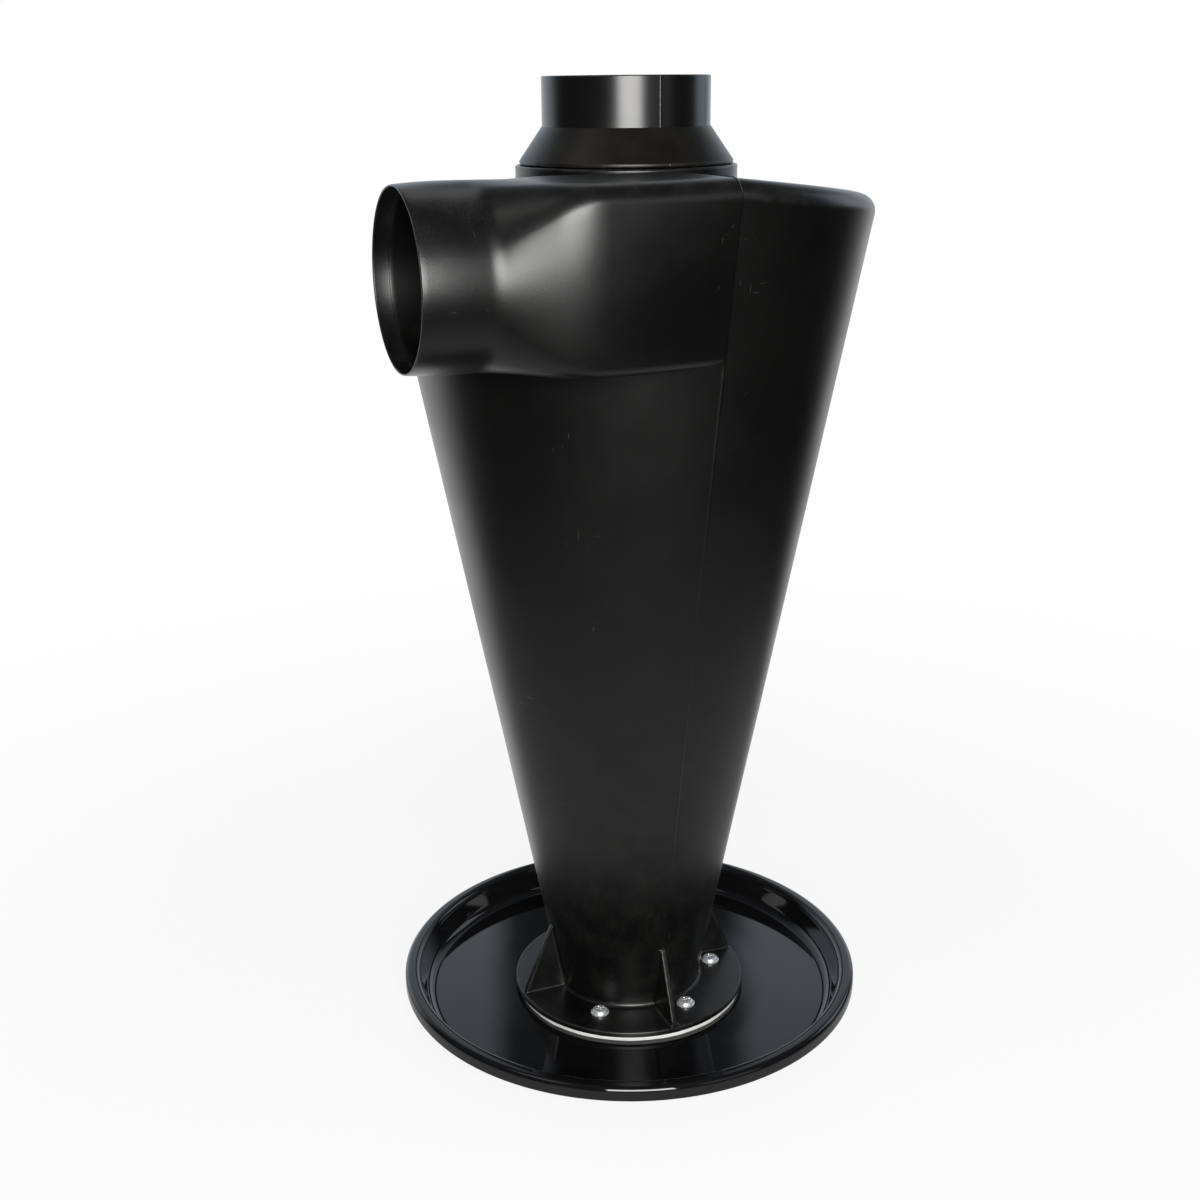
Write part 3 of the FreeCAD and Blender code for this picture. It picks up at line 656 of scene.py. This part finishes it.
# hub ring, central tube and reducer
hub = Sizes(bead=1.3 * mm, foot=low("hub_ring", "z"), gap=0.1 * mm)
tube = Sizes(outer=high("vortex_tube", "x"), wall=3.1 * mm, foot=low("vortex_tube", "z"),
    top=hubTop - 0.6 * mm)
reducer = Sizes(wall=3.1 * mm, flareRadius=high("outlet_flare", "x"), lip=hubTop + 2.5 * mm,
    foot=hubTop + 0.5 * mm, collarRadius=high("outlet_collar", "x"), collarFoot=low("outlet_collar", "z"),
    collarTop=high("outlet_collar", "z"))

ringPiece("hubRing", (tube.outer + hub.gap, hubRadius), (hub.foot, hubTop),
          (0.4 * mm, 0.4 * mm, hub.bead, 0.5 * mm), "bodyPlastic", ["hub_ring"], count=200, spacing=12 * mm)
ringPiece("vortexTube", (tube.outer - tube.wall, tube.outer), (tube.foot, tube.top),
          (1.2 * mm, 1.2 * mm, 0, 0), "reducerPlastic", ["vortex_tube"], count=200, spacing=12 * mm)
turnedPiece("reducerFlare", [
    (reducer.flareRadius - reducer.wall, reducer.foot, 0.5 * mm),
    (reducer.flareRadius, reducer.foot, 0.9 * mm), (reducer.flareRadius, reducer.lip, 0.9 * mm),
    (reducer.collarRadius + 0.2 * mm, reducer.collarFoot, 0),
    (reducer.collarRadius - reducer.wall, reducer.collarFoot, 0),
    (reducer.flareRadius - reducer.wall, reducer.lip, 3 * mm)],
    "reducerPlastic", ["outlet_flare"], seam=True)
ringPiece("reducerCollar", (reducer.collarRadius - reducer.wall, reducer.collarRadius),
          (reducer.collarFoot, reducer.collarTop), (0, 0, 0.8 * mm, 0.8 * mm), "collarPlastic",
          ["outlet_collar"], seam=True)

# flange, gasket and gussets
dustBore = 45.5 * mm
flange = Sizes(foot=low("cone_flange", "z"), radius=high("cone_flange", "x"), edge=1.1 * mm, rest=0.5 * mm)
gasket = Sizes(radius=high("flange_gasket", "x") - 0.9 * mm, foot=low("flange_gasket", "z"), bulge=0.25 * mm,
    shift=0.45 * mm, bore=dustBore + 0.4 * mm, columns=420, rows=9, wander=0.12 * mm)
gusset = Sizes(thick=4.4 * mm, foot=high("gusset_right", "x"), top=high("gusset_right", "z"), toe=2.0 * mm,
    tip=1.0 * mm, root=1.8 * mm, rows=44, sideSteps=18, noseSteps=8,
    footRows=np.array([-0.6, 0, 0.15, 0.4, 0.8, 1.3, 2.0]) * mm, firstRow=4 * mm,
    topRows=np.array([-0.9, -0.45, -0.15, 0]) * mm, topRound=1.4 * mm, topBack=1.2 * mm, fillet=1.5 * mm,
    thinning=0.22, noseRound=0.55, crowding=1.4)

ringPiece("coneFlange", (dustBore, flange.radius), (flange.foot, flangeTop),
          (flange.rest, flange.rest, flange.edge, flange.rest), "bodyPlastic", ["cone_flange"],
          count=300, spacing=8 * mm)


def buildGasket():
    # a foam ring squeezed out unevenly: its rim bulges between the faces and wanders a little round the ring
    turn = fullTurn(gasket.columns)[None]
    foot, top = gasket.foot, flange.foot
    side = np.linspace(-1, 1, gasket.rows)[:, None]
    wander = np.sin(5 * turn + 0.6) + 0.6 * np.sin(17 * turn + 2.0) + 0.4 * np.sin(43 * turn)
    wander = gasket.wander * wander
    rim = gasket.radius + gasket.bulge * (1 - side ** 2) + wander * (1 - 0.3 * side)
    rimUp = (foot + top) / 2 + (top - foot) / 2 * side + 0 * turn
    bore = np.full((2, turn.size), gasket.bore)
    boreUp = np.array([top, foot])[:, None] + 0 * turn
    points = aroundAxis(turn, np.concatenate([rim, bore]), np.concatenate([rimUp, boreUp]))
    points[..., 0] += gasket.shift
    return makePiece("foamGasket", [(points, True, True, None)], "whiteFoam", ["flange_gasket"])


buildGasket()


def gussetFillet(gap):
    # how much the web is thickened by the hollow fillet at a gap from the face it meets
    share = 1 - np.minimum(gap, gusset.fillet) / gusset.fillet
    return gusset.fillet * np.clip(1 - np.sqrt(np.clip(1 - share ** 2, 0, 1)), 0, 1)


def buildGusset(index, node):
    # A web standing on the flange against the cone. Each level is a U round its outer edge; the web thickens
    # into small fillets at the flange and at the cone.
    toe, top = flangeTop + gusset.toe, gusset.top
    middle = np.linspace(flangeTop + gusset.firstRow, top - gusset.topRound, gusset.rows)
    height = np.concatenate([flangeTop + gusset.footRows, middle, top + gusset.topRows])[:, None]
    upShare = np.clip((height - toe) / (top - toe), 0, 1)
    nose = gusset.foot + (coneRadius(top) + gusset.tip - gusset.foot) * upShare
    topShare = np.clip((height - top + gusset.topRound) / gusset.topRound, 0, 1)
    nose = nose - gusset.topBack * (1 - np.sqrt(1 - topShare ** 2))
    root = coneRadius(height) - gusset.root
    half = gusset.thick / 2 * (1 - gusset.thinning * upShare)
    noseRound = half * gusset.noseRound
    bow = np.linspace(0, math.pi / 2, gusset.noseSteps)[None]
    alongNose = nose - noseRound + noseRound * np.sin(bow)
    sideNose = half - noseRound + noseRound * np.cos(bow)
    flat = np.linspace(0, 1, gusset.sideSteps)[None, :-1] ** gusset.crowding
    alongFlat = root + (nose - noseRound - root) * flat
    sideFlat = half + gussetFillet(np.maximum(alongFlat - coneRadius(height), 0))
    along = np.concatenate([alongFlat, alongNose], 1)
    side = np.concatenate([sideFlat, sideNose], 1) + gussetFillet(np.maximum(height - flangeTop, 0))
    along = np.concatenate([along, along[:, ::-1]], 1)
    side = np.concatenate([side, -side[:, ::-1]], 1)
    wear = np.concatenate([np.zeros(flat.shape[1]), np.ones(bow.shape[1])])
    wear = np.concatenate([wear, wear[::-1]])[None]
    across, upward = math.cos(index * math.pi / 2), math.sin(index * math.pi / 2)
    points = np.stack([along * across - side * upward, along * upward + side * across,
                       height + 0 * along], -1)
    return makePiece(node.replace("_", "") + "Web", [(points, False, True, wear)] + endCaps(points),
                     "bodyPlastic", [node], sharpAngle=50)


for index, side in enumerate(("right", "back", "left", "front")):
    buildGusset(index, f"gusset_{side}")

# the pressed lid and the seal in its rim
lid = Sizes(sheet=1.0 * mm, panelRadius=high("lid_panel", "x"), bend=7.0 * mm, lean=math.radians(19.0),
    rimBend=3.6 * mm, rimRadius=high("lid_rim", "x") - 0.03 * mm, rimTop=high("lid_rim", "z"),
    hem=low("lid_rim", "z"), columns=420, panelRows=18, bendRows=13, rollRows=11, wallRows=8, edgeRows=7,
    waves=0.05 * mm)


def lidMiddle():
    # the middle line of the sheet (across, up): flat panel, bend, leaning chuck wall, rolled rim and hem
    half, bend, lean, rimBend = lid.sheet / 2, lid.bend, lid.lean, lid.rimBend
    rimFoot = lid.rimTop - rimBend
    panel = np.concatenate([[dustBore, dustBore + 0.6 * mm],
                            np.linspace(dustBore + 6 * mm, lid.panelRadius - 0.5 * mm, lid.panelRows)])
    bent = circle(np.linspace(-math.pi / 2, -lean, lid.bendRows))
    bent = np.array([lid.panelRadius, lid.sheet + bend]) + (bend + half) * bent
    wallTall = rimFoot - lid.sheet - bend + bend * math.sin(lean)
    inner = lid.panelRadius + bend * math.cos(lean) + wallTall * math.tan(lean) + rimBend
    rollIn = circle(np.linspace(math.pi, math.pi / 2, lid.rollRows))
    rollIn = np.array([inner, rimFoot]) + (rimBend - half) * rollIn
    wall = bent[-1] + (rollIn[0] - bent[-1]) * np.linspace(0, 1, lid.wallRows)[1:-1, None]
    outer = lid.rimRadius - rimBend
    rollOut = circle(np.linspace(math.pi / 2, 0, lid.rollRows))
    rollOut = np.array([outer, rimFoot]) + (rimBend - half) * rollOut
    skirt = np.linspace(rimFoot - 0.8 * mm, lid.hem + half, 5)
    return np.concatenate([pairs(panel, half), bent, wall, rollIn, rollOut,
                           pairs(outer + rimBend - half, skirt)])


def buildLid():
    # half the sheet's thickness on each side of its middle line, closed round both edges
    half, middle = lid.sheet / 2, lidMiddle()
    tangent = np.gradient(middle, axis=0)
    tangent /= np.linalg.norm(tangent, axis=1)[:, None]
    across = tangent[:, ::-1] * (-1, 1)
    upper, under = middle + half * across, middle - half * across
    angle = np.linspace(0, math.pi, lid.edgeRows)[1:-1, None]
    hem = middle[-1] + half * (np.cos(angle) * across[-1] + np.sin(angle) * tangent[-1])
    bore = middle[0] + half * (-np.cos(angle) * across[0] - np.sin(angle) * tangent[0])
    for edge in (bore, upper[:1], under[:1]):
        edge[:, 0] += half
    outline = np.concatenate([upper, hem, under[::-1], bore])
    wear = np.zeros(len(outline))
    wear[len(upper):len(upper) + len(hem)] = 1.0
    turn = fullTurn(lid.columns)[None]
    radius = outline[:, :1]
    # the flat panel between the flange and the bend is very slightly wavy
    flat = np.clip((lid.panelRadius - radius) / (40 * mm), 0, 1)
    flat = flat * np.clip((radius - flange.radius) / (20 * mm), 0, 1)
    height = outline[:, 1:] + lid.waves * flat * (np.sin(2 * turn + 0.8) + 0.6 * np.sin(3 * turn))
    return makePiece("pressedLid", [(aroundAxis(turn, radius, height), True, True, wear[:, None])],
                     "lidPaint", ["lid_panel", "lid_wall", "lid_rim"], sharpAngle=60)


buildLid()
sealOut = high("lid_seal", "x")
ringPiece("rimSeal", (sealOut - 3.6 * mm, sealOut), (low("lid_seal", "z"), high("lid_seal", "z")),
          (1.1 * mm, 1.1 * mm, 0.4 * mm, 0.4 * mm), "sealRubber", ["lid_seal"], count=300, spacing=2 * mm)

screw = Sizes(count=6, columns=96, head=6.25 * mm, headTall=3.6 * mm, headArc=math.pi / 2 * 0.98, crown=0.16,
    sideDrop=1.9 * mm, sideFrom=0.62, sideCurve=1.3, spin=(0.35, 1.9), shank=3.175 * mm, length=12.7 * mm,
    pitch=1.27 * mm, thread=0.35 * mm, lead=1 * mm, recess=2.9 * mm, recessDepth=2.0 * mm, recessSlope=0.45,
    recessSide=0.45 * mm, slotHalf=0.62 * mm, slotTaper=0.35, wear=0.8, wearReach=0.3 * mm, seat=0.02 * mm)
nut = Sizes(columns=144, across=11.1 * mm, tall=5.56 * mm, turnedLean=math.radians(62), turnedIn=0.1 * mm,
    sink=0.9 * mm, sinkLean=0.8, boreGap=0.06 * mm, thread=0.25 * mm, wear=0.8)


def screwPlace(index):
    node = f"flange_screw_{index + 1}"
    return [(low(node, axis) + high(node, axis)) / 2 for axis in "xy"]


def atScrew(index, radius, turn, height):
    x, y = screwPlace(index)
    return np.stack([x + radius * np.cos(turn), y + radius * np.sin(turn), height], -1)


def recessWing(along, across):
    # how far a place lies outside one wing of the crossed recess; the wing narrows outwards
    half = screw.slotHalf * (1 - screw.slotTaper * np.abs(across) / screw.recess)
    return np.maximum(np.abs(along) - half, np.abs(across) - screw.recess)


def buildScrew(index):
    # Pan head with a crossed recess over a threaded shank: one skin from the head's middle out to its edge,
    # in under the head and down the helix to the tip.
    head, length, firstUp = screw.head, screw.length, flangeTop + screw.seat
    turn = fullTurn(screw.columns)[None]
    share = np.concatenate([np.linspace(0, 0.55, 26), np.linspace(0.55, 1, 22)[1:]])[:, None]
    radius = head * np.sin(share * screw.headArc) / math.sin(screw.headArc)
    side = eased((radius / head - screw.sideFrom) / (1 - screw.sideFrom)) ** screw.sideCurve
    dome = screw.headTall * (1 - screw.crown * (radius / head) ** 2) - screw.sideDrop * side
    spin = turn + screw.spin[0] + screw.spin[1] * index
    x, y = radius * np.cos(spin), radius * np.sin(spin)
    gap = np.minimum(recessWing(x, y), recessWing(y, x))
    depth = screw.recessDepth * eased(-gap / screw.recessSide)
    depth = depth * (1 - screw.recessSlope * np.clip(radius / screw.recess, 0, 1))
    wear = np.exp(-(gap / screw.wearReach) ** 2) * screw.wear
    down = np.concatenate([[0.0], np.linspace(0.1 * mm, length - 1.2 * mm, 90), [length - 0.5 * mm, length]])
    down = down[:, None]
    phase = (down / screw.pitch + turn / (2 * math.pi)) % 1
    groove = np.abs(2 * phase - 1) * np.clip((down - screw.lead) / screw.lead, 0, 1)
    shank = screw.shank - screw.thread * groove
    shank = np.minimum(shank, screw.shank - np.clip(down - length + screw.lead, 0, 1) * 0.9)
    rimFoot = np.array([head, head - 0.3 * mm])[:, None] + 0 * turn
    rimUp = np.array([flangeTop + 0.35 * mm, firstUp])[:, None] + 0 * turn
    tip = np.zeros((1, turn.shape[1]))
    radius = np.concatenate([radius + 0 * turn, rimFoot, shank, tip])
    height = np.concatenate([flangeTop + dome - depth, rimUp, firstUp - down + 0 * turn,
                             tip + firstUp - length])
    allWear = np.zeros_like(height)
    allWear[:len(wear)] = wear
    makePiece(f"panScrew{index + 1}", [(atScrew(index, radius, spin, height), False, True, allWear)],
              "zincPlate", [f"flange_screw_{index + 1}"], sharpAngle=35, weld=1e-6)


def buildNut(index):
    # a hexagon whose corners are turned down to a cone at both faces, with a countersunk, threaded bore
    turn = fullTurn(nut.columns)[None]
    flat = nut.across / 2
    hexagon = flat / np.cos((turn + math.pi / 6) % (math.pi / 3) - math.pi / 6)
    top, foot = low("lid_panel", "z"), -nut.tall
    up = np.concatenate([[foot, foot + 0.05 * mm], np.linspace(foot + 0.3 * mm, top - 0.3 * mm, 14),
                         [top - 0.05 * mm, top]])[:, None]
    edge = np.minimum(up - foot, top - up)
    turned = flat - nut.turnedIn + edge * math.tan(nut.turnedLean) + 0 * turn
    bore = np.linspace(top, foot, 40)[:, None]
    phase = (-bore / screw.pitch + turn / (2 * math.pi)) % 1
    sink = np.clip(nut.sink - np.minimum(top - bore, bore - foot), 0, 1)
    groove = nut.thread * np.abs(2 * phase - 1) * (sink == 0)
    inner = screw.shank + nut.boreGap - groove + sink * nut.sinkLean
    radius = np.concatenate([np.minimum(hexagon, turned), inner])
    height = np.concatenate([up, bore]) + 0 * turn
    wear = np.concatenate([(turned < hexagon) * nut.wear, np.zeros_like(inner)])
    makePiece(f"hexNut{index + 1}", [(atScrew(index, radius, turn, height), True, True, wear)],
              "zincPlate", [f"lid_nut_{index + 1}"], sharpAngle=25, weld=1e-6)


for index in range(screw.count):
    buildScrew(index)
    buildNut(index)

# floor, light and camera
studio = Sizes(floor=low("lid_nut_1", "z") - 0.2 * mm, rings=(0.0, 0.4, 1.0, 2.0, 4.0, 12.0), columns=96,
    shadowTone=(0.80, 0.80, 0.80, 1), shadowShare=0.12, shadowReach=(0.15, 1.1), nearGlow=0.50,
    nearReach=(0.16, 0.86), backGlow=1.15, wedge=(0.40, 0.74))
white = (1, 1, 1, 1)

viewForward = np.array([0.35692, 0.87990, -0.31366])
viewRight = np.array([0.92555, -0.37852, -0.00863])
viewUp = np.array([0.12632, 0.28723, 0.94950])
cameraPlace = np.array([-0.3864, -0.9039, 0.6121])
behind = viewForward * (1, 1, 0)
behind /= np.linalg.norm(behind)
# the pale side of the surroundings lies a little to the left of straight behind the object
paleTurn = math.radians(11)
paleSide = (behind[0] * math.cos(paleTurn) - behind[1] * math.sin(paleTurn),
            behind[0] * math.sin(paleTurn) + behind[1] * math.cos(paleTurn), 0.0)


def mixShader(tree, share, first, second):
    return addNode(tree, "ShaderNodeMixShader", None, in0=share, in1=first, in2=second).outputs[0]


def cameraRay(tree):
    return tree.nodes.new("ShaderNodeLightPath").outputs["Is Camera Ray"]


def buildFloor():
    # A plain pale disc. What the object mirrors of it is bright close by and behind, and fades to the front.
    points = aroundAxis(fullTurn(studio.columns)[None], np.array(studio.rings)[:, None], studio.floor)
    mesh = bpy.data.meshes.new("studioFloor")
    faces = cellCorners(*points.shape[:2], False, True)
    mesh.from_pydata(points.reshape(-1, 3).tolist(), [], faces[:, ::-1].tolist())
    floor = bpy.data.objects.new("studioFloor", mesh)
    scene.collection.objects.link(floor)
    material = bpy.data.materials.new("floorWhite")
    tree = emptyTree(material)
    place = stretched(tree, tree.nodes.new("ShaderNodeTexCoord").outputs["Object"], (1, 1, 0))
    away = vectorNode(tree, "LENGTH", place)["Value"]
    outwards = vectorNode(tree, "NORMALIZE", place)[0]
    backness = vectorNode(tree, "DOT_PRODUCT", outwards, paleSide)["Value"]
    glow = mathNode(tree, "MAXIMUM", rampNode(tree, away, *studio.nearReach, studio.nearGlow, 0.0),
                    rampNode(tree, backness, *studio.wedge, 0.0, studio.backGlow))
    mirrored = addNode(tree, "ShaderNodeEmission", None, Color=white, Strength=glow).outputs[0]
    matt = addNode(tree, "ShaderNodeBsdfDiffuse", None, Color=studio.shadowTone).outputs[0]
    plain = addNode(tree, "ShaderNodeEmission", None, Color=white, Strength=1.0).outputs[0]
    share = rampNode(tree, away, *studio.shadowReach, studio.shadowShare, 0.0)
    both = mixShader(tree, cameraRay(tree), mirrored, mixShader(tree, share, plain, matt))
    # from below the floor is not there, so the object's underside can be seen
    below = tree.nodes.new("ShaderNodeNewGeometry").outputs["Backfacing"]
    seen = mixShader(tree, below, both, tree.nodes.new("ShaderNodeBsdfTransparent").outputs[0])
    tree.links.new(seen, tree.nodes.new("ShaderNodeOutputMaterial").inputs[0])
    floor.data.materials.append(material)


buildFloor()

lights = {
    # name: (degrees to the right of the camera as seen from the object, degrees up, distance, width, height,
    # brightness where white is 1, colour)
    "cameraSoftbox": (4, 7, 1.35, 0.74, 0.74, 16.0, (1.0, 0.995, 0.98)),
    "rightFill": (47, 14, 1.6, 0.8, 0.8, 0.6, (0.97, 0.98, 1.0)),
    "leftTop": (-62, 48, 1.6, 0.7, 0.5, 1.2, (1.0, 0.98, 0.95)),
    "rightBackSky": (118, 12, 1.7, 0.7, 0.9, 1.5, (0.78, 0.88, 1.0)),
    "backSoftbox": (178, 58, 1.5, 0.7, 0.6, 0.8, (1.0, 1.0, 1.0)),
}
middle = np.array([0.0, -0.02, 0.56])


def placed(side, up, away, place):
    matrix = np.eye(4)
    matrix[:3] = np.stack([side, up, away, place], -1)
    return Matrix(matrix.tolist())


def aimed(place, target):
    away = place - target
    away = away / np.linalg.norm(away)
    side = np.cross((0, 0, 1.0), away)
    side /= np.linalg.norm(side)
    return placed(side, np.cross(away, side), away, place)


def around(rightTurn, rise, distance):
    # a place at a turn to the right of the camera's side and a rise above the level, seen from the object
    turn, rise = math.radians(rightTurn), math.radians(rise)
    level = -behind * math.cos(turn) + np.cross(behind, (0, 0, 1.0)) * math.sin(turn)
    return middle + distance * (level * math.cos(rise) + np.array([0, 0, math.sin(rise)]))


for name, (rightTurn, rise, distance, width, height, brightness, colour) in lights.items():
    data = bpy.data.lights.new(name, "AREA")
    data.shape, data.size, data.size_y, data.color = "RECTANGLE", width, height, colour
    data.energy = brightness * math.pi * width * height
    light = bpy.data.objects.new(name, data)
    light.matrix_world = aimed(around(rightTurn, rise, distance), middle)
    light.visible_camera = False
    scene.collection.objects.link(light)

sky = Sizes(behind=1.2, front=0.035, above=0.10, wedge=(0.42, 0.76), dusk=(0.25, 0.95), gap=(0.064, 0.086),
    gapShift=0.0115, gapFoot=(0.22, 0.38), gapDark=0.95, tint=(0.84, 0.92, 1.0, 1))


def buildSky():
    # Pale behind the object, dark on the camera's side and overhead; the camera itself sees plain white.
    scene.world = bpy.data.worlds.new("studio")
    tree = emptyTree(scene.world)
    direction = tree.nodes.new("ShaderNodeTexCoord").outputs["Generated"]
    backness = vectorNode(tree, "DOT_PRODUCT", direction, paleSide)["Value"]
    height = addNode(tree, "ShaderNodeSeparateXYZ", None, in0=direction).outputs[2]
    # higher up a dark gap straight behind the object parts the pale side in two
    sideways = vectorNode(tree, "DOT_PRODUCT", direction, (-behind[1], behind[0], 0.0))["Value"]
    sideways = mathNode(tree, "ABSOLUTE", mathNode(tree, "ADD", sideways, sky.gapShift))
    gap = rampNode(tree, sideways, *sky.gap, sky.gapDark, 0.0)
    gap = product(tree, gap, rampNode(tree, height, *sky.gapFoot))
    level = rampNode(tree, backness, *sky.wedge, sky.front, sky.behind)
    level = product(tree, level, mathNode(tree, "SUBTRACT", 1.0, gap))
    shade = rampNode(tree, height, *sky.dusk, 0.0, 1.0)
    level = mixNumber(tree, shade, level, sky.above)
    shown = addNode(tree, "ShaderNodeBackground", None, Color=white, Strength=1.0).outputs[0]
    mirrored = addNode(tree, "ShaderNodeBackground", None, Color=sky.tint, Strength=level)
    both = mixShader(tree, cameraRay(tree), mirrored.outputs[0], shown)
    tree.links.new(both, tree.nodes.new("ShaderNodeOutputWorld").inputs[0])


buildSky()

cameraData = bpy.data.cameras.new("viewCamera")
cameraData.lens, cameraData.sensor_width = 46.79, 36.0
cameraData.clip_start, cameraData.clip_end = 0.01, 50.0
camera = bpy.data.objects.new("viewCamera", cameraData)
camera.matrix_world = placed(viewRight, viewUp, -viewForward, cameraPlace)
scene.collection.objects.link(camera)
scene.camera = camera
print("studio ready")
